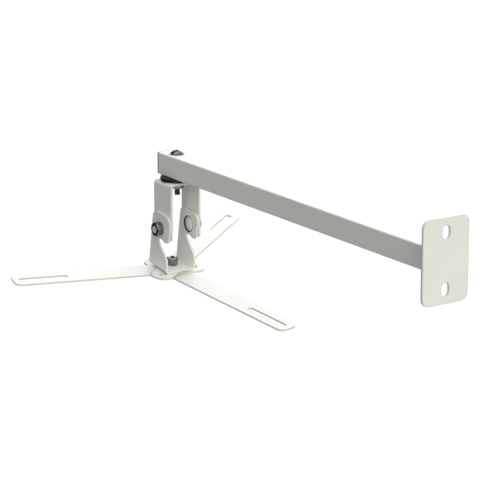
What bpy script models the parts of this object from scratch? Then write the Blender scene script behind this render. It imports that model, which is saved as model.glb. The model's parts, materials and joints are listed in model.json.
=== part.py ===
"""A projector wall arm: a wall plate, a square tube, a swivelling and tilting head, and three slotted arms.

The origin is the centre of the wall plate's wall side. +X runs along the tube, away from the wall.
Lengths are in metres and angles in degrees. The head is stored tilted, as it is left after levelling.
"""

import math

import bmesh
import bpy
from mathutils import Euler, Matrix

GAP = 0.0003  # air between neighbouring pieces
PAINTED_EDGE = 0.0004  # softened edge of painted plate
ROUND_STEPS = 36  # facets round a turned piece
CORNER_STEPS = 6  # facets round a quarter corner

PLATE_WIDTH = 0.056
PLATE_HEIGHT = 0.086
PLATE_THICKNESS = 0.0028
PLATE_CORNER = 0.0085
WALL_SLOT_WIDTH = 0.009
WALL_SLOT_LENGTH = 0.014
WALL_SLOT_SPACING = 0.057

REACH = 0.501  # wall to the outer face of the tube's end cap
TUBE_SIDE = 0.025
TUBE_WALL = 0.0015
TUBE_CORNER = 0.0016
TUBE_HOLE_RADIUS = 0.0045
SLEEVE_RADIUS = 0.0065
WELD_RADIUS = 0.0017
CAP_FLANGE = 0.0014
CAP_PLUG_DEPTH = 0.009
CAP_PLUG_WALL = 0.0018

SWIVEL_X = 0.480
M8_RADIUS = 0.004
M8_CLEARANCE = 0.0043
SWIVEL_HEAD_RADIUS = 0.0084
SWIVEL_HEAD_HEIGHT = 0.0045
SWIVEL_RIM = 0.0009
SWIVEL_DOME_RADIUS = 0.0076
SWIVEL_SOCKET = 0.004
SWIVEL_SOCKET_DEPTH = 0.0024
SWIVEL_POINT_RADIUS = 0.00325
SWIVEL_POINT_LENGTH = 0.0077
SWIVEL_POINT_EDGE = 0.0006
DISC_RADIUS = 0.0188
DISC_THICKNESS = 0.0018
RING_EDGE = 0.0003  # cut off the corners of discs and washers
M8_NUT_ACROSS = 0.013
M8_NUT_HEIGHT = 0.0065
NUT_FACE = 0.96  # width of a nut's round face, as a share of its width across flats

SHEET = 0.0025
BRACKET_WIDTH = 0.036
BRACKET_SPAN = 0.039  # outside the two legs
BEND_RADIUS = 0.0045  # outside of the bend
BEND_STEPS = 6
UPPER_LEG_END = 0.012  # below the tilt axis
UPPER_LEG_CORNER = 0.003

TILT_Z = -0.070
TILT_REST = 9.0  # the arms' far side is up by this much
LEG_GAP = 0.0005
LOWER_TOP = 0.0175  # above the tilt axis
LOWER_CORNER = 0.009
LOWER_BOTTOM = 0.049  # below the tilt axis
PIVOT_HEAD_RADIUS = 0.00775
PIVOT_HEAD_HEIGHT = 0.0076
PIVOT_HEAD_EDGE = 0.0007
PIVOT_SOCKET = 0.008
PIVOT_SOCKET_DEPTH = 0.0045
PIVOT_SHANK_RADIUS = 0.0049
PIVOT_BARREL_RADIUS = 0.0067
PIVOT_FLANGE_RADIUS = 0.0086
PIVOT_FLANGE_RIM = 0.0004
PIVOT_FLANGE_DOME = 0.0016
PIVOT_HOLE_RADIUS = 0.0097  # in the inner leg
BUSH_COLLAR_RADIUS = 0.0094
BUSH_COLLAR_BORE = 0.0089
BUSH_FLANGE_RADIUS = 0.0105
BUSH_FLANGE = 0.0003

BASE_HEAD_RADIUS = 0.0065
BASE_HEAD_HEIGHT = 0.008
BASE_HEAD_EDGE = 0.0006
BASE_SOCKET = 0.006
BASE_SOCKET_DEPTH = 0.004
BASE_WASHER_RADIUS = 0.010
BASE_WASHER = 0.0016
BASE_NUT_HEIGHT = 0.004
BASE_SCREW_END = 0.0008  # below the nut

ARM_THICKNESS = 0.002
ARM_WIDTH = 0.0262
ARM_LENGTH = 0.187  # base bolt to tip
ARM_TAIL = 0.0385  # base bolt to the other end
ARM_TIP_CORNER = 0.008
ARM_TAIL_CORNER = 0.0115
ARM_EDGE = 0.0003
ARM_SLOT_START = 0.1235
ARM_SLOT_END = 0.180
ARM_SLOT_WIDTH = 0.007
ARM_SPARE_HOLE_X = -0.0273
ARM_SPARE_HOLE_RADIUS = 0.0032
ARM_AZIMUTHS = {"device_arm_top": -54.4, "device_arm_middle": 78.2, "device_arm_bottom": -168.5}

# Heights and places that follow from the sizes above.
TUBE_HALF = TUBE_SIDE / 2
BRACKET_TOP_Z = -(TUBE_HALF + 2 * DISC_THICKNESS + 3 * GAP)
UPPER_DROP = BRACKET_TOP_Z - TILT_Z  # bracket's top face to the tilt axis
LOWER_SHIFT = SHEET + LEG_GAP  # the lower bracket sits this far to +Y
NUT_SEAT_Z = BRACKET_TOP_Z - SHEET
HALF_SPAN = BRACKET_SPAN / 2
HALF_WIDTH = BRACKET_WIDTH / 2
CLAMP_LENGTH = 2 * SHEET + LEG_GAP  # through the two legs at a pivot
BUSH_FLANGE_FACE = SHEET + (LEG_GAP - BUSH_FLANGE) / 2  # from the inner leg's inner face
PIVOT_NUT_BACK = BUSH_FLANGE_FACE - GAP
CUTTER_REACH = 0.001  # how far a cutter stands out of what it cuts
ACROSS = Euler((math.pi / 2, 0, math.pi / 2)).to_matrix().to_4x4()  # an outline's x and y become Y and Z
ALONG = Euler((math.pi / 2, 0, 0)).to_matrix().to_4x4()  # an outline's x and y become X and Z


def clear_scene():
    for old in list(bpy.data.objects):
        bpy.data.objects.remove(old, do_unlink=True)


def collection(name):
    group = bpy.data.collections.new(name)
    bpy.context.scene.collection.children.link(group)
    return group


def material(name, colour, roughness, metallic):
    new = bpy.data.materials.new(name)
    new.use_nodes = True
    shader = new.node_tree.nodes["Principled BSDF"]
    shader.inputs["Base Color"].default_value = (*colour, 1.0)
    shader.inputs["Roughness"].default_value = roughness
    shader.inputs["Metallic"].default_value = metallic
    return new


clear_scene()
PARTS = collection("projector_wall_arm")
CUTTERS = collection("cutters")
WHITE_PAINT = material("white_powder_coat", (0.80, 0.80, 0.78), 0.45, 0.0)
BLACK_STEEL = material("black_oxide_steel", (0.05, 0.05, 0.05), 0.35, 1.0)
BLACK_NYLON = material("black_nylon", (0.02, 0.02, 0.022), 0.5, 0.0)
ZINC_STEEL = material("zinc_plated_steel", (0.55, 0.55, 0.56), 0.3, 1.0)


# ---- outlines: lists of (x, y) points ----


def arc(centre, radius, start, end, steps=CORNER_STEPS):
    points = []
    for i in range(steps + 1):
        angle = math.radians(start + (end - start) * i / steps)
        points.append((centre[0] + radius * math.cos(angle), centre[1] + radius * math.sin(angle)))
    return points


def circle(radius, centre=(0, 0)):
    return arc(centre, radius, 0, 360, ROUND_STEPS // 2)[:-1]


def dome(radius, height):
    """A spherical cap's outline as (radius, height) points, from its foot up to its top."""
    sphere = (radius**2 + height**2) / (2 * height)
    spread = math.degrees(math.asin(radius / sphere))
    return arc((0, height - sphere), sphere, 90 - spread, 90)[:-1] + [(0, height)]


def bezier(start, pull, push, end, steps):
    """Points after the start of a cubic curve, up to its end."""
    points = []
    for i in range(1, steps + 1):
        t = i / steps
        weights = ((1 - t) ** 3, 3 * t * (1 - t) ** 2, 3 * t * t * (1 - t), t**3)
        x = sum(w * p[0] for w, p in zip(weights, (start, pull, push, end)))
        y = sum(w * p[1] for w, p in zip(weights, (start, pull, push, end)))
        points.append((x, y))
    return points


def rounded_rectangle(x_low, x_high, y_low, y_high, radius):
    points = arc((x_high - radius, y_high - radius), radius, 0, 90)
    points += arc((x_low + radius, y_high - radius), radius, 90, 180)
    points += arc((x_low + radius, y_low + radius), radius, 180, 270)
    points += arc((x_high - radius, y_low + radius), radius, 270, 360)
    return points


def rounded_square(side, radius):
    return rounded_rectangle(-side / 2, side / 2, -side / 2, side / 2, radius)


def slot(start, end, width):
    """A slot along x with round ends, from its start to its end."""
    radius = width / 2
    return arc((end - radius, 0), radius, -90, 90) + arc((start + radius, 0), radius, 90, 270)


# ---- meshes ----


def add(mesh, name, coat=None, parent=None, group=PARTS):
    made = bpy.data.objects.new(name, mesh)
    group.objects.link(made)
    made.parent = parent
    if coat:
        mesh.materials.append(coat)
    return made


def evaluated_mesh(source):
    graph = bpy.context.evaluated_depsgraph_get()
    graph.update()
    return bpy.data.meshes.new_from_object(source.evaluated_get(graph))


def edit(mesh, action):
    """Runs one bmesh action on a mesh."""
    working = bmesh.new()
    working.from_mesh(mesh)
    action(working)
    working.to_mesh(mesh)
    working.free()
    return mesh


def outline_mesh(outlines, thickness):
    """A filled outline with its holes, centred on z = 0."""
    curve = bpy.data.curves.new("outline", "CURVE")
    curve.dimensions = "2D"
    curve.fill_mode = "BOTH"
    curve.extrude = thickness / 2
    for points in outlines:
        spline = curve.splines.new("POLY")
        spline.points.add(len(points) - 1)
        for target, (x, y) in zip(spline.points, points):
            target.co = (x, y, 0, 1)
        spline.use_cyclic_u = True
    guide = bpy.data.objects.new("outline", curve)
    CUTTERS.objects.link(guide)
    mesh = evaluated_mesh(guide)
    bpy.data.objects.remove(guide)
    return edit(mesh, lambda b: bmesh.ops.remove_doubles(b, verts=b.verts, dist=1e-7))


def moved(mesh, matrix):
    return edit(mesh, lambda b: bmesh.ops.transform(b, matrix=matrix, verts=b.verts))


def turned_mesh(profile, closed=False):
    """A profile of (radius, z) points turned round Z. Its outer side runs down."""
    mesh = bpy.data.meshes.new("profile")
    edges = [(i, i + 1) for i in range(len(profile) - 1)]
    if closed:
        edges.append((len(profile) - 1, 0))
    mesh.from_pydata([(radius, 0, z) for radius, z in profile], edges, [])
    guide = bpy.data.objects.new("profile", mesh)
    CUTTERS.objects.link(guide)
    screw = guide.modifiers.new("turn", "SCREW")
    screw.angle = math.tau
    screw.steps = screw.render_steps = ROUND_STEPS
    screw.use_merge_vertices = True
    screw.merge_threshold = 1e-6
    result = evaluated_mesh(guide)
    bpy.data.objects.remove(guide)
    return result


def ring_mesh(inner, outer, z_low, z_high, edge=0.0):
    """A flat ring, with its outer corners cut back by edge."""
    outer_side = [(outer, z_high), (outer, z_low)]
    if edge:
        outer_side = [(outer - edge, z_high), (outer, z_high - edge)]
        outer_side += [(outer, z_low + edge), (outer - edge, z_low)]
    return turned_mesh([(inner, z_high), *outer_side, (inner, z_low)], closed=True)


def boolean(target, cutter_mesh, operation="DIFFERENCE", parent=None):
    cutter = add(cutter_mesh, target.name + "_cutter", parent=parent or target, group=CUTTERS)
    cutter.hide_render = True
    cutter.display_type = "WIRE"
    modifier = target.modifiers.new(cutter.name, "BOOLEAN")
    modifier.object = cutter
    modifier.operation = operation
    modifier.solver = "EXACT"
    return cutter


def soften(target, width=PAINTED_EDGE):
    bevel = target.modifiers.new("soft_edges", "BEVEL")
    bevel.width = width
    bevel.segments = 1
    bevel.limit_method = "ANGLE"
    bevel.angle_limit = math.radians(40)


def hex_prism_mesh(across, z_low, z_high):
    mesh = bpy.data.meshes.new("hexagon")

    def build(working):
        radius = across / math.sqrt(3)
        bmesh.ops.create_cone(
            working, cap_ends=True, segments=6, radius1=radius, radius2=radius, depth=z_high - z_low
        )
        bmesh.ops.translate(working, verts=working.verts, vec=(0, 0, (z_low + z_high) / 2))

    return edit(mesh, build)


def empty(name, location, rotation=(0, 0, 0), parent=None):
    made = bpy.data.objects.new(name, None)
    PARTS.objects.link(made)
    made.parent = parent
    made.location = location
    made.rotation_euler = [math.radians(angle) for angle in rotation]
    return made


# ---- wall plate and tube: they never move ----


def wall_plate():
    outline = rounded_rectangle(
        -PLATE_WIDTH / 2, PLATE_WIDTH / 2, -PLATE_HEIGHT / 2, PLATE_HEIGHT / 2, PLATE_CORNER
    )
    slots = []
    for side in (-1, 1):
        middle = side * WALL_SLOT_SPACING / 2
        along = slot(middle - WALL_SLOT_LENGTH / 2, middle + WALL_SLOT_LENGTH / 2, WALL_SLOT_WIDTH)
        slots.append([(-across, height) for height, across in along])
    plate = add(outline_mesh([outline, *slots], PLATE_THICKNESS), "wall_plate", WHITE_PAINT)
    plate.location = (PLATE_THICKNESS / 2, 0, 0)
    plate.rotation_euler = (math.pi / 2, 0, math.pi / 2)
    soften(plate)


def arm_tube():
    inner = rounded_square(TUBE_SIDE - 2 * TUBE_WALL, TUBE_CORNER - TUBE_WALL + GAP)
    start = PLATE_THICKNESS + GAP
    length = REACH - CAP_FLANGE - GAP - start
    tube = add(outline_mesh([rounded_square(TUBE_SIDE, TUBE_CORNER), inner], length), "arm_tube", WHITE_PAINT)
    tube.location = (start + length / 2, 0, 0)
    tube.rotation_euler = (math.pi / 2, 0, math.pi / 2)
    drill = [(0, TUBE_SIDE), (TUBE_HOLE_RADIUS, TUBE_SIDE), (TUBE_HOLE_RADIUS, -TUBE_SIDE), (0, -TUBE_SIDE)]
    boolean(tube, turned_mesh(drill), parent=SWIVEL_AXIS)


def tube_weld():
    """A round bead that runs once round the tube, in the corner that the tube makes with the plate."""
    reach = TUBE_HALF + GAP + WELD_RADIUS
    path = rounded_square(2 * reach, TUBE_CORNER + GAP + WELD_RADIUS)
    curve = bpy.data.curves.new("tube_weld", "CURVE")
    curve.dimensions = "3D"
    curve.bevel_depth = WELD_RADIUS
    curve.bevel_resolution = 2
    spline = curve.splines.new("POLY")
    spline.points.add(len(path) - 1)
    for target, (y, z) in zip(spline.points, path):
        target.co = (PLATE_THICKNESS + GAP + WELD_RADIUS, y, z, 1)
    spline.use_cyclic_u = True
    add(curve, "tube_weld", WHITE_PAINT)


def tube_end_cap():
    """A flange that closes the tube and a hollow plug behind it."""
    cap = add(outline_mesh([rounded_square(TUBE_SIDE, TUBE_CORNER)], CAP_FLANGE), "tube_end_cap", BLACK_NYLON)
    cap.location = (REACH - CAP_FLANGE / 2, 0, 0)
    cap.rotation_euler = (math.pi / 2, 0, math.pi / 2)
    soften(cap)
    side = TUBE_SIDE - 2 * TUBE_WALL - 2 * GAP
    walls = [rounded_square(side, TUBE_CORNER), rounded_square(side - 2 * CAP_PLUG_WALL, TUBE_CORNER)]
    plug = moved(outline_mesh(walls, CAP_PLUG_DEPTH), Matrix.Translation((0, 0, -CAP_PLUG_DEPTH / 2)))
    boolean(cap, plug, "UNION")


def crush_sleeve():
    half = TUBE_HALF - TUBE_WALL - GAP
    add(ring_mesh(M8_CLEARANCE, SLEEVE_RADIUS, -half, half), "crush_sleeve", ZINC_STEEL, SWIVEL_AXIS)


def swivel_bolt():
    """A flanged button head above the tube, and a shank that ends in a plain point under the nut."""
    seat = TUBE_HALF + GAP
    rim = seat + SWIVEL_RIM
    top = seat + SWIVEL_HEAD_HEIGHT
    cap = [(radius, rim + height) for radius, height in dome(SWIVEL_DOME_RADIUS, top - rim)]
    thread_end = NUT_SEAT_Z - GAP - M8_NUT_HEIGHT
    point_end = thread_end - SWIVEL_POINT_LENGTH
    profile = [*cap[::-1], (SWIVEL_HEAD_RADIUS, rim), (SWIVEL_HEAD_RADIUS, seat), (M8_RADIUS, seat)]
    profile += [(M8_RADIUS, thread_end), (SWIVEL_POINT_RADIUS, thread_end - M8_RADIUS + SWIVEL_POINT_RADIUS)]
    profile.append((SWIVEL_POINT_RADIUS, point_end + SWIVEL_POINT_EDGE))
    profile += [(SWIVEL_POINT_RADIUS - SWIVEL_POINT_EDGE, point_end), (0, point_end)]
    bolt = add(turned_mesh(profile), "swivel_bolt", BLACK_STEEL, SWIVEL_AXIS)
    boolean(bolt, hex_prism_mesh(SWIVEL_SOCKET, top - SWIVEL_SOCKET_DEPTH, top + CUTTER_REACH))


def swivel_washer_upper():
    top = -TUBE_HALF - GAP
    ring = ring_mesh(TUBE_HOLE_RADIUS, DISC_RADIUS, top - DISC_THICKNESS, top, RING_EDGE)
    add(ring, "swivel_washer_upper", BLACK_NYLON, SWIVEL_AXIS)


def hex_nut(name, across, top, height, bore, parent):
    """A nut with its corners cut back by a cone on both faces."""
    nut = add(hex_prism_mesh(across, top - height, top), name, BLACK_STEEL, parent)
    nut.rotation_euler = (0, 0, math.pi / 6)
    face = across / 2 * NUT_FACE
    corner = across / math.sqrt(3) + GAP
    cut = (corner - face) * math.tan(math.radians(30))
    barrel = [(face, top), (corner, top - cut), (corner, top - height + cut), (face, top - height)]
    boolean(nut, turned_mesh([(bore, top), *barrel, (bore, top - height)], closed=True), "INTERSECT")


# ---- swivel head: turns under the tube ----


def u_section(depth):
    """The bent sheet's section as (y, z) points, with its outside top at z = 0 and its legs down to depth."""
    bend_y = HALF_SPAN - BEND_RADIUS
    inside = BEND_RADIUS - SHEET
    points = [(HALF_SPAN, -depth)]
    points += arc((bend_y, -BEND_RADIUS), BEND_RADIUS, 0, 90, BEND_STEPS)
    points += arc((-bend_y, -BEND_RADIUS), BEND_RADIUS, 90, 180, BEND_STEPS)
    points += [(-HALF_SPAN, -depth), (SHEET - HALF_SPAN, -depth)]
    points += arc((-bend_y, -BEND_RADIUS), inside, 180, 90, BEND_STEPS)
    points += arc((bend_y, -BEND_RADIUS), inside, 90, 0, BEND_STEPS)
    points.append((HALF_SPAN - SHEET, -depth))
    return points


def u_bracket(name, leg, pivot, parent):
    """A U-bracket whose side view is an outline of (x, z) points. Its pivot hole is at z = pivot."""
    depth = HALF_WIDTH - min(z for x, z in leg)
    sheet = moved(outline_mesh([u_section(depth)], 2 * BRACKET_WIDTH), ACROSS)
    bracket = add(sheet, name, WHITE_PAINT, parent)
    side = [(HALF_WIDTH, SHEET), *leg, (-HALF_WIDTH, SHEET)]
    pivot_hole = circle(PIVOT_BARREL_RADIUS + GAP, (0, pivot))
    boolean(bracket, moved(outline_mesh([side, pivot_hole], 2 * BRACKET_SPAN), ALONG), "INTERSECT")
    drill = [(0, SHEET), (M8_CLEARANCE, SHEET), (M8_CLEARANCE, -2 * SHEET), (0, -2 * SHEET)]
    boolean(bracket, turned_mesh(drill))
    return bracket


def bush_hole(bracket, y_middle, parent):
    """Widens the pivot hole in a bracket's inner leg, whose sheet has its middle at y_middle."""
    profile = [(0, SHEET), (PIVOT_HOLE_RADIUS, SHEET), (PIVOT_HOLE_RADIUS, -SHEET), (0, -SHEET)]
    cutter = boolean(bracket, turned_mesh(profile), parent=parent)
    cutter.location = (0, y_middle, 0)
    cutter.rotation_euler = (math.pi / 2, 0, 0)


def upper_bracket():
    corner = HALF_WIDTH - UPPER_LEG_CORNER
    end = UPPER_LEG_CORNER - UPPER_DROP - UPPER_LEG_END
    leg = arc((corner, end), UPPER_LEG_CORNER, 0, -90) + arc((-corner, end), UPPER_LEG_CORNER, -90, -180)
    bracket = u_bracket("upper_bracket", leg, -UPPER_DROP, SWIVEL_AXIS)
    bracket.location = (0, 0, BRACKET_TOP_Z)
    bush_hole(bracket, HALF_SPAN - SHEET / 2, TILT_POST)
    soften(bracket)


def swivel_washer_lower():
    bottom = BRACKET_TOP_Z + GAP
    ring = ring_mesh(M8_CLEARANCE, DISC_RADIUS, bottom, bottom + DISC_THICKNESS, RING_EDGE)
    add(ring, "swivel_washer_lower", BLACK_NYLON, SWIVEL_AXIS)


def pivot_screw(name, side, y_outer, parent):
    """A socket-head screw whose head sits on the outside of the legs. side is the way its head points."""
    head = PIVOT_HEAD_HEIGHT
    edge = PIVOT_HEAD_EDGE
    wide = PIVOT_HEAD_RADIUS
    shank_end = PIVOT_NUT_BACK - CLAMP_LENGTH
    profile = [(0, head), (wide - edge, head), (wide, head - edge), (wide, 0), (PIVOT_SHANK_RADIUS, 0)]
    profile += [(PIVOT_SHANK_RADIUS, shank_end), (0, shank_end)]
    screw = add(turned_mesh(profile), name, BLACK_STEEL, parent)
    screw.location = (0, y_outer + side * GAP, 0)
    screw.rotation_euler = (side * -math.pi / 2, 0, 0)
    boolean(screw, hex_prism_mesh(PIVOT_SOCKET, head - PIVOT_SOCKET_DEPTH, head + CUTTER_REACH))


def pivot_nut(name, side, y_inner, parent):
    """A blind barrel that the legs turn on, with a low domed head sunk inside the bush."""
    back = PIVOT_NUT_BACK
    rim = back - PIVOT_FLANGE_RIM
    bore = PIVOT_SHANK_RADIUS + GAP
    barrel_end = CLAMP_LENGTH - GAP
    profile = [(0, back), (bore, back), (bore, barrel_end), (PIVOT_BARREL_RADIUS, barrel_end)]
    profile += [(PIVOT_BARREL_RADIUS, back), (PIVOT_FLANGE_RADIUS, back)]
    profile += [(radius, rim - height) for radius, height in dome(PIVOT_FLANGE_RADIUS, PIVOT_FLANGE_DOME)]
    nut = add(turned_mesh(profile), name, ZINC_STEEL, parent)
    nut.location = (0, y_inner, 0)
    nut.rotation_euler = (side * -math.pi / 2, 0, 0)


def pivot_bush(name, side, y_inner, parent):
    """A bearing bush: its collar lines the inner leg's hole, and its flange keeps the two legs apart."""
    face = BUSH_FLANGE_FACE
    back = face + BUSH_FLANGE
    bore = PIVOT_BARREL_RADIUS + GAP
    profile = [(bore, back), (BUSH_FLANGE_RADIUS, back), (BUSH_FLANGE_RADIUS, face)]
    profile += [(BUSH_COLLAR_RADIUS, face), (BUSH_COLLAR_RADIUS, GAP), (BUSH_COLLAR_BORE, GAP)]
    profile += [(BUSH_COLLAR_BORE, face), (bore, face)]
    bush = add(turned_mesh(profile, closed=True), name, BLACK_NYLON, parent)
    bush.location = (0, y_inner, 0)
    bush.rotation_euler = (side * -math.pi / 2, 0, 0)


# ---- tilt head: turns about the tilt axis ----


def lower_leg():
    """One leg's outline as (x, height above the tilt axis), from its far edge round to its near edge."""
    tip = 0.006
    tip_low = -0.0132
    notch = 0.0017
    notch_top = -0.0116
    points = [(HALF_WIDTH, 2 * BEND_RADIUS - LOWER_BOTTOM)]
    points += arc((HALF_WIDTH - LOWER_CORNER, LOWER_TOP - LOWER_CORNER), LOWER_CORNER, 0, 90)
    points += arc((LOWER_CORNER - HALF_WIDTH, LOWER_TOP - LOWER_CORNER), LOWER_CORNER, 90, 180)
    points += arc((tip - HALF_WIDTH, tip_low + tip), tip, 180, 270)
    points += bezier(points[-1], (-0.0085, tip_low), (-0.004, notch_top), (0.001, notch_top), 5)
    points += arc((0.001, notch_top - notch), notch, 90, 0, 5)[1:]
    points += bezier(points[-1], (0.0027, -0.0225), (-HALF_WIDTH, -0.026), (-HALF_WIDTH, -0.039), 12)
    points.append((-HALF_WIDTH, 2 * BEND_RADIUS - LOWER_BOTTOM))
    return points


def lower_bracket():
    leg = [(-x, -LOWER_BOTTOM - height) for x, height in lower_leg()]
    bracket = u_bracket("lower_bracket", leg[::-1], -LOWER_BOTTOM, TILT_AXIS)
    bracket.location = (0, LOWER_SHIFT, -LOWER_BOTTOM)
    bracket.rotation_euler = (0, math.pi, 0)
    bush_hole(bracket, LOWER_SHIFT - HALF_SPAN + SHEET / 2, TILT_AXIS)
    soften(bracket)


def base_screw():
    """A socket-head screw that goes down through the bracket's base and the three arms."""
    seat = SHEET + GAP
    top = seat + BASE_HEAD_HEIGHT
    edge = BASE_HEAD_EDGE
    end = nut_top() - BASE_NUT_HEIGHT - BASE_SCREW_END
    wide = BASE_HEAD_RADIUS
    profile = [(0, top), (wide - edge, top), (wide, top - edge), (wide, seat)]
    profile += [(M8_RADIUS, seat), (M8_RADIUS, end + edge), (M8_RADIUS - edge, end), (0, end)]
    screw = add(turned_mesh(profile), "base_screw", BLACK_STEEL, BASE_POST)
    boolean(screw, hex_prism_mesh(BASE_SOCKET, top - BASE_SOCKET_DEPTH, top + CUTTER_REACH))


def layer_top(layer):
    """Top of an arm in the stack, from the underside of the base."""
    return -GAP - layer * (ARM_THICKNESS + GAP)


def nut_top():
    return layer_top(3) - BASE_WASHER - GAP


def base_washer():
    top = layer_top(3)
    ring = ring_mesh(M8_CLEARANCE, BASE_WASHER_RADIUS, top - BASE_WASHER, top, RING_EDGE)
    add(ring, "base_washer", BLACK_STEEL, BASE_POST)


def device_arm(name, layer, azimuth):
    """A flat arm on the base screw, with a long slot towards its tip and a spare hole in its tail."""
    axis = empty(name + "_axis", (0, 0, layer_top(layer) - ARM_THICKNESS / 2), (0, 0, azimuth), BASE_POST)
    tip = rounded_rectangle(0, ARM_LENGTH, -ARM_WIDTH / 2, ARM_WIDTH / 2, ARM_TIP_CORNER)
    tail = rounded_rectangle(-ARM_TAIL, 0, -ARM_WIDTH / 2, ARM_WIDTH / 2, ARM_TAIL_CORNER)
    half = len(tip) // 4
    outline = tip[:half] + tail[half:-half] + tip[-half:]
    holes = [circle(M8_CLEARANCE), circle(ARM_SPARE_HOLE_RADIUS, (ARM_SPARE_HOLE_X, 0))]
    holes.append(slot(ARM_SLOT_START, ARM_SLOT_END, ARM_SLOT_WIDTH))
    arm = add(outline_mesh([outline, *holes], ARM_THICKNESS), name, WHITE_PAINT, axis)
    soften(arm, ARM_EDGE)


def finish_meshes():
    """Applies the modifiers, then shades the round faces smooth and keeps the edges sharp."""
    for piece in [made for made in PARTS.objects if made.type == "MESH"]:
        mesh = evaluated_mesh(piece)
        piece.modifiers.clear()
        piece.data = mesh
        mesh.shade_smooth()
        mesh.set_sharp_from_angle(angle=math.radians(35))


SWIVEL_AXIS = empty("swivel_axis", (SWIVEL_X, 0, 0))
TILT_POST = empty("tilt_post", (0, 0, TILT_Z), parent=SWIVEL_AXIS)
TILT_AXIS = empty("tilt_axis", (0, 0, 0), (0, -TILT_REST, 0), TILT_POST)
BASE_POST = empty("base_post", (0, LOWER_SHIFT, -LOWER_BOTTOM), parent=TILT_AXIS)

wall_plate()
arm_tube()
tube_weld()
tube_end_cap()
crush_sleeve()
swivel_bolt()
swivel_washer_upper()
hex_nut("swivel_nut", M8_NUT_ACROSS, NUT_SEAT_Z - GAP, M8_NUT_HEIGHT, M8_CLEARANCE, SWIVEL_AXIS)

upper_bracket()
swivel_washer_lower()
pivot_screw("pivot_screw_left", 1, HALF_SPAN + LEG_GAP + SHEET, TILT_POST)
pivot_nut("pivot_nut_left", 1, HALF_SPAN - SHEET, TILT_POST)
pivot_bush("pivot_bush_left", 1, HALF_SPAN - SHEET, TILT_POST)

lower_bracket()
pivot_screw("pivot_screw_right", -1, -HALF_SPAN, TILT_AXIS)
pivot_nut("pivot_nut_right", -1, LOWER_SHIFT - HALF_SPAN + SHEET, TILT_AXIS)
pivot_bush("pivot_bush_right", -1, LOWER_SHIFT - HALF_SPAN + SHEET, TILT_AXIS)
base_screw()
base_washer()
hex_nut("base_nut", M8_NUT_ACROSS, nut_top(), BASE_NUT_HEIGHT, M8_CLEARANCE, BASE_POST)
for place, (arm_name, arm_azimuth) in enumerate(ARM_AZIMUTHS.items()):
    device_arm(arm_name, place, arm_azimuth)
finish_meshes()
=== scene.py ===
"""The looks of a projector wall arm: its fine pieces and materials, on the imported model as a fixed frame.

Everything is in metres in the frame's own axes: +X runs along the tube, away from the wall, and +Z is up.
Sizes of the detailed pieces are measured on the CAD nodes that they stand for.
"""

import json
import math

import bmesh
import bpy
from mathutils import Euler, Matrix, Vector


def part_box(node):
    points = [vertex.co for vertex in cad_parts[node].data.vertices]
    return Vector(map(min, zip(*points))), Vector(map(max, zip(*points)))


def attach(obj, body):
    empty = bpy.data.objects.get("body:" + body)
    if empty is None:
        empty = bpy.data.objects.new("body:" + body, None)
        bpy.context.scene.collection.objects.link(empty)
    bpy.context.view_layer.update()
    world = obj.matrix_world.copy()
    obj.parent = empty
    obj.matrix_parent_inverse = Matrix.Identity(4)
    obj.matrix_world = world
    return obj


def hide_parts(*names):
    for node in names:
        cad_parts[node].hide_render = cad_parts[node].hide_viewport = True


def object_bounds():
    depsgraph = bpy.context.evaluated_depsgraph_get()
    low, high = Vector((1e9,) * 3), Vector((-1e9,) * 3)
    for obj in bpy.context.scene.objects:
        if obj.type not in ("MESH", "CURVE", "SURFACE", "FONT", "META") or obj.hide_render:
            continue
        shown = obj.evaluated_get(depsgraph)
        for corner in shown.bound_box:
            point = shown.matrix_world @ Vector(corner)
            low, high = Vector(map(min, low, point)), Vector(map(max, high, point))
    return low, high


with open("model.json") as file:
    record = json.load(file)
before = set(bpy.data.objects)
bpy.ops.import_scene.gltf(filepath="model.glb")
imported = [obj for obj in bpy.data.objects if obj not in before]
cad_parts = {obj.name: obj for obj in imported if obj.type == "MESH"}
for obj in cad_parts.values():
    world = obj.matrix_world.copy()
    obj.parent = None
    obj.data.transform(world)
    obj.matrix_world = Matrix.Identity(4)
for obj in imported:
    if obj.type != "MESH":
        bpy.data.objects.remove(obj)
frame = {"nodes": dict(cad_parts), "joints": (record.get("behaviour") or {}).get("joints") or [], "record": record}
CAD_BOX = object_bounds()
NODES = frame["nodes"]
JOINTS = {joint["name"]: joint for joint in frame["joints"]}
BODY_OF = {
    node: body
    for body, members in frame["record"]["behaviour"]["bodies"].items()
    for node in members
}
SLOT_OF = {part["node"]: part["material_slot"] for part in frame["record"]["subparts"]}

PAINT = "white_powder_coat"
STEEL = "black_oxide_steel"
NYLON = "black_nylon"
ZINC = "zinc_plated_steel"

CAMERA_PLACE = (-1.7288, 1.3925, 0.6161)
CAMERA_HEADING = -33.77  # degrees from +X
CAMERA_DROP = 15.07  # degrees below level
CAMERA_LENS_MM = 180.3
CAMERA_SENSOR_MM = 36.0
CAMERA_FAR = 200.0

DARK_SIDE = (0.8, 0.55, -0.1)  # the way to the unlit end of the studio
FLOOR_DROP = 2.5  # far enough down for views from below the arm
FLOOR_HALF = 60.0

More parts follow.
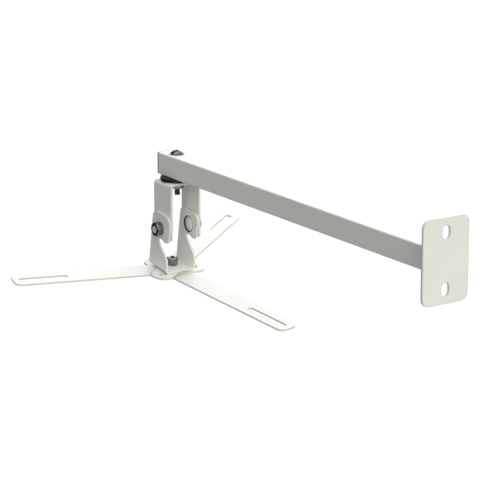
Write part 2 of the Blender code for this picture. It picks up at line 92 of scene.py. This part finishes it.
ROUND_STEPS = 96
EDGE_ROUNDING = 0.00015  # on top of the CAD's chamfers
EDGE_SHADE_ON_SHEET = 0.0004  # how far in from an edge the painted edge shade reaches
EDGE_SHADE_ON_FLAT_BAR = 0.0016
SHARP_ANGLE = 32.0  # degrees, for turned and cut steel pieces
RIBS = 48  # knurled ribs round a socket head
RIB_DEPTH = 0.00016
STEPS_PER_RIB = 4
HEAD_EDGE = 0.0007  # rounded edge of a socket head's end
SOFT_EDGE = 0.0002  # on seats and flanges
RIB_END = 0.00005  # length of the slope at a rib's end
KNURL_TOP_MARGIN = 0.0012
KNURL_LOW_MARGIN = 0.0009
CUTTER_REACH = 0.001  # how far a cutter stands out of what it cuts
DRILL_SHARE = 0.48  # radius of the drilled cone, as a share of the socket's width
DRILL_STEPS = 48
SOCKET_DRILL_DEPTH = 0.0013  # the cone past a hexagon socket's bottom
SOCKET_REACH_SHARE = 0.56  # nearly out to the hexagon's corners
PIVOT_SOCKET = 0.008  # across flats, as are the other two
PIVOT_SOCKET_DEPTH = 0.0045
BASE_SOCKET = 0.006
BASE_SOCKET_DEPTH = 0.004
SWIVEL_SOCKET = 0.004
SWIVEL_SOCKET_DEPTH = 0.0024
FLANGE_RIM = 0.0009  # height of the swivel bolt's flange
FLANGE_SHELF = 0.0008  # from the foot of its dome out to its rim
BARREL_EDGE = 0.0003  # on a sleeve nut's open end
THREAD_PITCH = 0.00125
THREAD_DEPTH = 0.0006
THREAD_STEPS_PER_TURN = 8
PLAIN_UNDER_HEAD = 0.0016  # from a socket screw's seat to its thread
PLAIN_OVER_POINT = 0.0012  # from the swivel bolt's full shank to the thread of its point
THREAD_RUN_OUT = 0.0006  # plain end of a socket screw
POINT_RUN_OUT = 0.0008
WELD_RIPPLE = 0.0018  # length of one ripple along the bead
WELD_STEPS_PER_RIPPLE = 6
WELD_PROFILE_STEPS = 6  # across the bead, from the plate's side to the tube's
WELD_OVERLAP = 0.0004  # how far the bead's back reaches into the tube
WELD_SWELL = 0.1  # share of the bead's size that comes and goes with the ripples
WELD_SIDE_STEP = 0.0002  # every other side's bead is thinner by this
WELD_HOLLOW = 0.80
WELD_BELLY = 0.12
TUBE_CORNER = 0.0016


# ---- measuring the CAD ----


class Axis:
    """A straight line that a turned piece is built round: its own z = 0 is at place."""

    def __init__(self, place, direction):
        self.place = Vector(place)
        self.direction = Vector(direction).normalized()

    def matrix(self):
        turn = self.direction.to_track_quat("Z", "Y").to_matrix().to_4x4()
        return Matrix.Translation(self.place) @ turn

    def section(self, node):
        """A node's corners as (height along the axis, distance from it)."""
        points = []
        for vertex in NODES[node].data.vertices:
            offset = vertex.co - self.place
            height = offset.dot(self.direction)
            points.append((height, (offset - self.direction * height).length))
        return points


SWIVEL = Axis(JOINTS["head_swivel"]["pos_m"], JOINTS["head_swivel"]["axis"])
BASE = Axis(JOINTS["top_arm_turn"]["pos_m"], JOINTS["top_arm_turn"]["axis"])
PIVOT_LEFT = Axis(JOINTS["head_tilt"]["pos_m"], (0, 1, 0))
PIVOT_RIGHT = Axis(JOINTS["head_tilt"]["pos_m"], (0, -1, 0))


def screw_sizes(node, axis):
    """Radius and top of the head, seat, and radius and end of the shank. The head is at the axis's far end."""
    section = axis.section(node)
    radius = max(distance for height, distance in section)
    seat = min(height for height, distance in section if distance > 0.9 * radius)
    top = max(height for height, distance in section)
    shank = max(distance for height, distance in section if height < seat - 0.001)
    end = min(height for height, distance in section)
    return radius, top, seat, shank, end


# ---- materials ----


def material(name, colour, roughness, metallic=0.0):
    made = bpy.data.materials.new(name)
    made.use_nodes = True
    shader = made.node_tree.nodes["Principled BSDF"]
    shader.inputs["Base Color"].default_value = (*colour, 1.0)
    shader.inputs["Roughness"].default_value = roughness
    shader.inputs["Metallic"].default_value = metallic
    return made, shader


def node(tree, kind, **values):
    made = tree.nodes.new(kind)
    for name, value in values.items():
        made.inputs[name].default_value = value
    return made


def noise(tree, scale, detail=3.0, roughness=0.5):
    """Noise in the object's own space. Scale is in waves to the metre."""
    place = tree.nodes.new("ShaderNodeTexCoord")
    made = node(tree, "ShaderNodeTexNoise", Scale=scale, Detail=detail, Roughness=roughness)
    tree.links.new(place.outputs["Object"], made.inputs["Vector"])
    return made.outputs["Fac"]


def mapped(tree, value, low, high, start=0.3, end=0.7):
    """A number that goes from low to high as value goes from start to end."""
    made = node(tree, "ShaderNodeMapRange")
    made.inputs["From Min"].default_value = start
    made.inputs["From Max"].default_value = end
    made.inputs["To Min"].default_value = low
    made.inputs["To Max"].default_value = high
    tree.links.new(value, made.inputs["Value"])
    return made.outputs["Result"]


def mixed(tree, factor, first, second):
    """A colour that goes from first to second with factor. Each is three numbers or another node's colour."""
    made = tree.nodes.new("ShaderNodeMix")
    made.data_type = "RGBA"
    for socket, colour in ((made.inputs[6], first), (made.inputs[7], second)):
        if isinstance(colour, tuple):
            socket.default_value = (*colour, 1.0)
        else:
            tree.links.new(colour, socket)
    tree.links.new(factor, made.inputs[0])
    return made.outputs[2]


def near_edge(tree, reach):
    """0 on open faces, and up to 1 within reach of an edge."""
    softened = node(tree, "ShaderNodeBevel", Radius=reach)
    softened.samples = 6
    true = tree.nodes.new("ShaderNodeNewGeometry")
    turn = tree.nodes.new("ShaderNodeVectorMath")
    turn.operation = "DOT_PRODUCT"
    tree.links.new(softened.outputs["Normal"], turn.inputs[0])
    tree.links.new(true.outputs["Normal"], turn.inputs[1])
    return mapped(tree, turn.outputs["Value"], 1.0, 0.0, 0.93, 0.998)


def bumped(tree, shader, height, distance, strength):
    made = node(tree, "ShaderNodeBump", Distance=distance, Strength=strength)
    tree.links.new(height, made.inputs["Height"])
    tree.links.new(made.outputs["Normal"], shader.inputs["Normal"])


def powder_coat(name, edge_shade_reach):
    """White polyester powder: a fine orange peel, a sheen that wanders, and a painted grey edge shade along every
    edge.
    """
    made, shader = material(name, (0.76, 0.76, 0.742), 0.42)
    tree = made.node_tree
    shader.inputs["Specular IOR Level"].default_value = 0.4
    cloud = mapped(tree, noise(tree, 26.0, 4.0), 0.0, 1.0)
    open_face = mixed(tree, cloud, (0.745, 0.745, 0.724), (0.775, 0.775, 0.758))
    # Painted shade: faces within reach of an edge are darkened to grey.
    colour = mixed(tree, near_edge(tree, edge_shade_reach), open_face, (0.47, 0.47, 0.46))
    tree.links.new(colour, shader.inputs["Base Color"])
    sheen = mapped(tree, noise(tree, 140.0, 5.0, 0.6), 0.36, 0.5)
    tree.links.new(sheen, shader.inputs["Roughness"])
    peel = noise(tree, 1100.0, 2.0, 0.45)
    bumped(tree, shader, peel, 0.00006, 0.55)
    return made


def black_oxide(name, dark, worn, metallic=0.9):
    """Blackened steel: dark and a little brown, with rubbed patches and fine scratches."""
    made, shader = material(name, (0.2, 0.2, 0.195), 0.3, metallic)
    tree = made.node_tree
    rubbed = mapped(tree, noise(tree, 420.0, 6.0, 0.62), 0.0, 1.0, 0.42, 0.72)
    colour = mixed(tree, rubbed, dark, worn)
    tree.links.new(colour, shader.inputs["Base Color"])
    gloss = mapped(tree, noise(tree, 900.0, 4.0), 0.16, 0.3)
    tree.links.new(gloss, shader.inputs["Roughness"])
    bumped(tree, shader, noise(tree, 2400.0, 3.0), 0.00002, 0.4)
    return made


def nylon():
    made, shader = material("black_nylon_look", (0.012, 0.012, 0.013), 0.25)
    tree = made.node_tree
    cloud = mapped(tree, noise(tree, 60.0, 3.0), 0.0, 1.0)
    colour = mixed(tree, cloud, (0.009, 0.009, 0.0095), (0.016, 0.016, 0.0175))
    tree.links.new(colour, shader.inputs["Base Color"])
    shader.inputs["Specular IOR Level"].default_value = 0.35
    gloss = mapped(tree, noise(tree, 500.0, 3.0), 0.2, 0.32)
    tree.links.new(gloss, shader.inputs["Roughness"])
    bumped(tree, shader, noise(tree, 1800.0, 2.0), 0.00004, 0.4)
    return made


def zinc():
    """Pale, passivated zinc: nearly white, with a soft spangle."""
    made, shader = material("zinc_plated_steel_look", (0.84, 0.85, 0.83), 0.35, 0.15)
    tree = made.node_tree
    cloud = mapped(tree, noise(tree, 180.0, 4.0), 0.0, 1.0)
    colour = mixed(tree, cloud, (0.84, 0.85, 0.83), (0.92, 0.92, 0.9))
    tree.links.new(colour, shader.inputs["Base Color"])
    gloss = mapped(tree, noise(tree, 700.0, 4.0), 0.26, 0.42)
    tree.links.new(gloss, shader.inputs["Roughness"])
    bumped(tree, shader, noise(tree, 2000.0, 3.0), 0.00003, 0.4)
    return made


LOOKS = {
    PAINT: powder_coat("white_powder_coat_look", EDGE_SHADE_ON_SHEET),
    STEEL: black_oxide("black_oxide_steel_look", (0.17, 0.169, 0.165), (0.36, 0.357, 0.35)),
    NYLON: nylon(),
    ZINC: zinc(),
}
FLAT_BAR_LOOK = powder_coat("white_powder_coat_flat_bar_look", EDGE_SHADE_ON_FLAT_BAR)
# Pale steel inside the pivot screws' sockets: painted light where the lamps don't reach.
SOCKET_PAINTED_LIGHT_LOOK = black_oxide("socket_painted_light_look", (0.7, 0.7, 0.69), (0.9, 0.9, 0.89), 0.3)
# The darkest black oxide: the swivel bolt's own colour, and painted shade on the pivot screws' end faces and in
# the base screw's socket.
BUTTON_AND_PAINTED_SHADE_LOOK = black_oxide("black_oxide_button_and_painted_shade_look", (0.055, 0.055, 0.054), (0.3, 0.3, 0.295))


# ---- meshes ----


def evaluated_mesh(source):
    graph = bpy.context.evaluated_depsgraph_get()
    graph.update()
    return bpy.data.meshes.new_from_object(source.evaluated_get(graph))


def scratch_object(mesh):
    made = bpy.data.objects.new("scratch", mesh)
    bpy.context.scene.collection.objects.link(made)
    return made


def rounded(mesh, width, segments=2, sharp_angle=30.0):
    """A copy of a mesh with its edges rounded and its flat faces kept flat to the light."""
    guide = scratch_object(mesh)
    if width:
        bevel = guide.modifiers.new("rounding", "BEVEL")
        bevel.width = width
        bevel.segments = segments
        bevel.limit_method = "ANGLE"
        bevel.angle_limit = math.radians(sharp_angle)
    result = evaluated_mesh(guide)
    bpy.data.objects.remove(guide)
    smoothed(result, 40)
    guide = scratch_object(result)
    normals = guide.modifiers.new("flat_faces", "WEIGHTED_NORMAL")
    normals.keep_sharp = True
    result = evaluated_mesh(guide)
    bpy.data.objects.remove(guide)
    return result


def bare_copy(source):
    """A mesh's corners and faces alone, with corners that lie together made one."""
    mesh = bpy.data.meshes.new(source.name)
    mesh.from_pydata([v.co for v in source.vertices], [], [tuple(p.vertices) for p in source.polygons])
    return edited(mesh, lambda b: bmesh.ops.remove_doubles(b, verts=b.verts, dist=1e-6))


def cut(mesh, cutter_mesh):
    guide = scratch_object(mesh)
    cutter = scratch_object(cutter_mesh)
    boolean = guide.modifiers.new("cut", "BOOLEAN")
    boolean.object = cutter
    boolean.operation = "DIFFERENCE"
    boolean.solver = "EXACT"
    result = evaluated_mesh(guide)
    bpy.data.objects.remove(guide)
    bpy.data.objects.remove(cutter)
    return result


def smoothed(mesh, sharp_angle=SHARP_ANGLE):
    mesh.shade_smooth()
    mesh.set_sharp_from_angle(angle=math.radians(sharp_angle))


def edited(mesh, action):
    working = bmesh.new()
    working.from_mesh(mesh)
    action(working)
    working.to_mesh(mesh)
    working.free()
    return mesh


def turned(rows, steps=ROUND_STEPS):
    """A closed turned mesh. rows run from top to bottom as (radius, z), or (function of the step, z)."""
    working = bmesh.new()
    rings = []
    for radius, z in rows:
        if radius == 0:
            rings.append([working.verts.new((0, 0, z))])
            continue
        ring = []
        for step in range(steps):
            angle = math.tau * step / steps
            size = radius(step) if callable(radius) else radius
            ring.append(working.verts.new((size * math.cos(angle), size * math.sin(angle), z)))
        rings.append(ring)
    for upper, lower in zip(rings, rings[1:]):
        for step in range(steps):
            corners = [upper[step % len(upper)], lower[step % len(lower)]]
            corners += [lower[(step + 1) % len(lower)], upper[(step + 1) % len(upper)]]
            working.faces.new(list(dict.fromkeys(corners)))
    bmesh.ops.recalc_face_normals(working, faces=working.faces)
    mesh = bpy.data.meshes.new("turned")
    working.to_mesh(mesh)
    working.free()
    return mesh


def hex_prism(across, low, high):
    mesh = bpy.data.meshes.new("hexagon")
    radius = across / math.sqrt(3)

    def build(working):
        bmesh.ops.create_cone(
            working, cap_ends=True, segments=6, radius1=radius, radius2=radius, depth=high - low
        )
        bmesh.ops.translate(working, verts=working.verts, vec=(0, 0, (low + high) / 2))

    return edited(mesh, build)


def dome(radius, height, steps=14):
    """A spherical cap as (radius, height) points, from its foot up to its top."""
    sphere = (radius**2 + height**2) / (2 * height)
    spread = math.asin(radius / sphere)
    points = []
    for step in range(steps):
        angle = spread * (1 - step / steps)
        points.append((sphere * math.sin(angle), height - sphere * (1 - math.cos(angle))))
    return points + [(0, height)]


def threaded_rows(radius, low, high):
    """Rows of a screw thread from high down to low, with its ends run out to nothing."""
    count = round((high - low) / THREAD_PITCH * THREAD_STEPS_PER_TURN)
    rows = []
    for row in range(count + 1):
        z = high - (high - low) * row / count
        fade = min(1.0, (high - z) / THREAD_PITCH, (z - low) / THREAD_PITCH)

        def size(step, z=z, fade=fade):
            turn = (z / THREAD_PITCH - step / ROUND_STEPS) % 1.0
            return radius - THREAD_DEPTH * fade * abs(2 * turn - 1)

        rows.append((size, z))
    return rows


def finish(mesh, name, axis, like, look=None):
    """Puts a detailed piece in place of the CAD node that it is like."""
    if axis:
        mesh.transform(axis.matrix())
    piece = bpy.data.objects.new(name, mesh)
    bpy.context.scene.collection.objects.link(piece)
    mesh.materials.clear()
    mesh.materials.append(look or LOOKS[SLOT_OF[like]])
    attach(piece, BODY_OF[like])
    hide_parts(like)
    return piece


# ---- pieces ----


def sheet_and_tube():
    """Painted pieces and plain rings: the CAD's own shapes with their edges rounded."""
    flat_bars = ["wall_plate", "device_arm_top", "device_arm_middle", "device_arm_bottom"]
    others = ["arm_tube", "upper_bracket", "lower_bracket", "tube_end_cap", "crush_sleeve"]
    others += ["swivel_washer_upper", "swivel_washer_lower", "swivel_nut", "base_nut", "base_washer"]
    others += ["pivot_bush_left", "pivot_bush_right"]
    for name in flat_bars + others:
        look = FLAT_BAR_LOOK if name in flat_bars else None
        finish(rounded(bare_copy(NODES[name].data), EDGE_ROUNDING), name + "_finished", None, name, look)


def socket_screw(node_name, axis, socket, socket_depth, socket_look, face_look):
    """A socket-head cap screw with a ribbed head, a hexagon socket with a drilled bottom, and a thread."""
    radius, top, seat, shank, end = screw_sizes(node_name, axis)
    edge = HEAD_EDGE
    ribbed_top = top - KNURL_TOP_MARGIN
    ribbed_low = seat + KNURL_LOW_MARGIN
    bottom = top - socket_depth

    def ribs(step):
        return radius - (RIB_DEPTH if step % STEPS_PER_RIB >= STEPS_PER_RIB / 2 else 0.0)

    smooth = radius - RIB_DEPTH * 0.3
    rows = [(0, top), (radius - edge - 0.0008, top), (smooth - edge, top - 0.0001)]
    rows += [(smooth - edge * 0.35, top - edge * 0.4), (smooth, top - edge), (smooth, ribbed_top + RIB_END)]
    rows += [(ribs, ribbed_top), (ribs, ribbed_low), (smooth, ribbed_low - RIB_END)]
    rows += [(smooth, seat + SOFT_EDGE), (smooth - SOFT_EDGE, seat), (shank, seat)]
    rows += threaded_rows(shank, end + THREAD_RUN_OUT, seat - PLAIN_UNDER_HEAD)
    rows += [(shank - THREAD_DEPTH, end), (0, end)]
    mesh = turned(rows, RIBS * STEPS_PER_RIB)
    mesh = cut(mesh, hex_prism(socket, bottom, top + CUTTER_REACH))
    drill = socket * DRILL_SHARE
    cone = [(0, bottom + 0.0002), (drill, bottom + 0.0002), (0, bottom - SOCKET_DRILL_DEPTH)]
    mesh = cut(mesh, turned(cone, DRILL_STEPS))
    smoothed(mesh)
    slots = [socket_screw_slot(face.center, top, bottom, socket) for face in mesh.polygons]
    finish(mesh, node_name + "_detailed", axis, node_name)
    mesh.materials.append(socket_look)
    mesh.materials.append(face_look)
    for face, slot in zip(mesh.polygons, slots):
        face.material_index = slot


def socket_screw_slot(centre, top, bottom, socket):
    """0 for the body of a socket screw, 1 for the inside of its socket and 2 for the end face round it."""
    inside = Vector(centre[:2]).length < SOCKET_REACH_SHARE * socket
    if inside and bottom - 2 * CUTTER_REACH < centre.z < top - 0.0001:
        return 1
    if centre.z > top - HEAD_EDGE / 2:
        return 2
    return 0


def button_bolt():
    """The flanged button-head bolt on top of the tube, with its thread and plain point under the nut."""
    radius, top, seat, shank, end = screw_sizes("swivel_bolt", SWIVEL)
    rim = seat + FLANGE_RIM
    foot = radius - FLANGE_SHELF
    rows = [(size, rim + height) for size, height in dome(foot, top - rim)][::-1]
    rows += [(foot + 0.0003, rim - 0.00005), (radius - SOFT_EDGE, rim - 0.0001), (radius, rim - 0.0003)]
    rows += [(radius, seat + SOFT_EDGE), (radius - SOFT_EDGE, seat), (shank, seat)]
    section = SWIVEL.section("swivel_bolt")
    thread_end = min(height for height, distance in section if distance > 0.97 * shank)
    point = max(distance for height, distance in section if height < thread_end - 0.002)
    rows += [(shank, thread_end), (point, thread_end - shank + point)]
    rows += threaded_rows(point, end + POINT_RUN_OUT, thread_end - PLAIN_OVER_POINT)
    rows += [(point - THREAD_DEPTH, end), (0, end)]
    mesh = turned(rows)
    mesh = cut(mesh, hex_prism(SWIVEL_SOCKET, top - SWIVEL_SOCKET_DEPTH, top + CUTTER_REACH))
    smoothed(mesh)
    finish(mesh, "swivel_bolt_detailed", SWIVEL, "swivel_bolt", BUTTON_AND_PAINTED_SHADE_LOOK)


def sleeve_nut(node_name, axis):
    """A blind sleeve nut: a plain barrel, and a slightly domed face that lies inside the bush."""
    section = axis.section(node_name)
    face = min(height for height, distance in section)
    flange = max(distance for height, distance in section)
    back = max(height for height, distance in section if distance > 0.95 * flange)
    end = max(height for height, distance in section)
    barrel = max(distance for height, distance in section if height > back + 0.0005)
    bore = min(distance for height, distance in section if height > back + 0.0005)
    rim = min(height for height, distance in section if distance > 0.98 * flange)
    rows = [(0, back + 0.0001), (bore, back + 0.0001), (bore, end - BARREL_EDGE), (bore + BARREL_EDGE, end)]
    rows += [(barrel - BARREL_EDGE, end), (barrel, end - BARREL_EDGE), (barrel, back), (flange, back)]
    rows += [(radius, rim - height) for radius, height in dome(flange, rim - face)]
    mesh = turned(rows)
    smoothed(mesh, 50)
    finish(mesh, node_name + "_detailed", axis, node_name)


def weld_bead():
    """A fillet of overlapping ripples round the tube, laid from the tube's side onto the plate's front."""
    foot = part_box("wall_plate")[1].x
    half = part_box("arm_tube")[1].z
    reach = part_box("tube_weld")[1].z - half
    corner = TUBE_CORNER
    straight = 2 * (half - corner)
    arc_length = math.pi / 2 * corner
    around = 4 * (straight + arc_length)
    ripples = round(around / WELD_RIPPLE)
    count = ripples * WELD_STEPS_PER_RIPPLE
    working = bmesh.new()
    loops = []
    for step in range(count):
        side, along = divmod(around * step / count, straight + arc_length)
        phase = step % WELD_STEPS_PER_RIPPLE / WELD_STEPS_PER_RIPPLE
        swell = 1 - WELD_SWELL + WELD_SWELL * math.sin(math.pi * phase)
        size = reach * swell - WELD_SIDE_STEP * (side % 2)
        turn = max(0.0, along - straight) / corner
        place = Vector((half, min(along, straight) - straight / 2))
        if turn:
            place = Vector((half - corner + corner * math.cos(turn), straight / 2 + corner * math.sin(turn)))
        outward = Vector((math.cos(turn), math.sin(turn)))
        section = [(-WELD_OVERLAP, -0.0001), *weld_profile(size), (-WELD_OVERLAP, size)]
        loops.append([
            working.verts.new(weld_point(place, outward, out, foot + rise, side)) for out, rise in section
        ])
    for here, there in zip(loops, loops[1:] + loops[:1]):
        for i in range(len(here)):
            j = (i + 1) % len(here)
            working.faces.new((here[i], here[j], there[j], there[i]))
    bmesh.ops.recalc_face_normals(working, faces=working.faces)
    mesh = bpy.data.meshes.new("weld")
    working.to_mesh(mesh)
    working.free()
    smoothed(mesh, 60)
    finish(mesh, "tube_weld_detailed", None, "tube_weld")


def weld_profile(size):
    """The bead's open face from the plate to the tube, as (distance from the tube, height over the plate)."""
    points = [(size, 0.0)]
    for step in range(1, WELD_PROFILE_STEPS):
        angle = math.radians(90 * step / WELD_PROFILE_STEPS)
        bulge = WELD_HOLLOW + WELD_BELLY * math.sin(2 * angle) ** 2
        points.append((size * (1 - bulge * math.sin(angle)), size * (1 - bulge * math.cos(angle))))
    return points + [(0.0, size)]


def weld_point(place, outward, out, x, side):
    """A point this far out from the tube's side, with the first side turned round to the one asked for."""
    y, z = place + outward * out
    for _ in range(int(side)):
        y, z = -z, y
    return (x, y, z)


# ---- studio ----


def camera():
    made = bpy.data.objects.new("camera", bpy.data.cameras.new("camera"))
    bpy.context.scene.collection.objects.link(made)
    made.location = CAMERA_PLACE
    made.rotation_euler = Euler((math.radians(90 - CAMERA_DROP), 0, math.radians(CAMERA_HEADING - 90)))
    made.data.lens = CAMERA_LENS_MM
    made.data.sensor_width = CAMERA_SENSOR_MM
    made.data.clip_end = CAMERA_FAR
    bpy.context.scene.camera = made


def soft_sun(name, towards, strength, spread, colour=(1.0, 1.0, 1.0)):
    """A far, wide light. towards is the way from the object to the light, and spread its width in degrees."""
    light = bpy.data.lights.new(name, "SUN")
    light.color = colour
    light.energy = strength
    light.angle = math.radians(spread)
    made = bpy.data.objects.new(name, light)
    bpy.context.scene.collection.objects.link(made)
    made.rotation_euler = Vector(towards).to_track_quat("Z", "Y").to_euler()


def studio():
    world = bpy.data.worlds.new("studio")
    bpy.context.scene.world = world
    world.use_nodes = True
    tree = world.node_tree
    background = tree.nodes["Background"]
    background.inputs["Color"].default_value = (1, 1, 0.985, 1)
    place = tree.nodes.new("ShaderNodeTexCoord")
    towards = tree.nodes.new("ShaderNodeVectorMath")
    towards.operation = "DOT_PRODUCT"
    towards.inputs[1].default_value = Vector(DARK_SIDE).normalized()
    tree.links.new(place.outputs["Generated"], towards.inputs[0])
    strength = mapped(tree, towards.outputs["Value"], 0.23, 0.03, 0.45, 0.8)
    tree.links.new(strength, background.inputs["Strength"])
    soft_sun("ceiling_light", (-0.15, -0.1, 1.0), 1.9, 70)
    soft_sun("wall_side_light", (-1.0, -0.3, 0.5), 1.05, 60, (0.96, 1.0, 0.78))
    soft_sun("front_light", (-0.7, 0.5, 0.25), 1.32, 60, (1.0, 0.99, 0.95))
    soft_sun("room_light", (0.6, -0.8, 0.2), 1.9, 60)
    soft_sun("floor_bounce", (0.1, -0.2, -1.0), 0.7, 90)
    pale_floor()
    bpy.context.scene.view_settings.view_transform = "Standard"


def pale_floor():
    """A floor that is seen, but neither throws light on the arm nor casts a shadow."""
    mesh = bpy.data.meshes.new("floor")
    floor_z = CAD_BOX[0][2] - FLOOR_DROP
    corners = [(-1, -1), (1, -1), (1, 1), (-1, 1)]
    mesh.from_pydata([(x * FLOOR_HALF, y * FLOOR_HALF, floor_z) for x, y in corners], [], [(0, 1, 2, 3)])
    floor = bpy.data.objects.new("floor", mesh)
    bpy.context.scene.collection.objects.link(floor)
    look, _ = material("floor_look", (0.83, 0.83, 0.89), 0.9)
    mesh.materials.append(look)
    floor.visible_diffuse = False
    floor.visible_glossy = False
    floor.visible_shadow = False


sheet_and_tube()
# The pivot screws' sockets get painted light, and their end faces painted shade.
for pivot_screw, pivot_axis in (("pivot_screw_left", PIVOT_LEFT), ("pivot_screw_right", PIVOT_RIGHT)):
    socket_screw(pivot_screw, pivot_axis, PIVOT_SOCKET, PIVOT_SOCKET_DEPTH, SOCKET_PAINTED_LIGHT_LOOK, BUTTON_AND_PAINTED_SHADE_LOOK)
# The base screw's socket gets painted shade.
socket_screw("base_screw", BASE, BASE_SOCKET, BASE_SOCKET_DEPTH, BUTTON_AND_PAINTED_SHADE_LOOK, LOOKS[STEEL])
button_bolt()
sleeve_nut("pivot_nut_left", PIVOT_LEFT)
sleeve_nut("pivot_nut_right", PIVOT_RIGHT)
weld_bead()
camera()
studio()
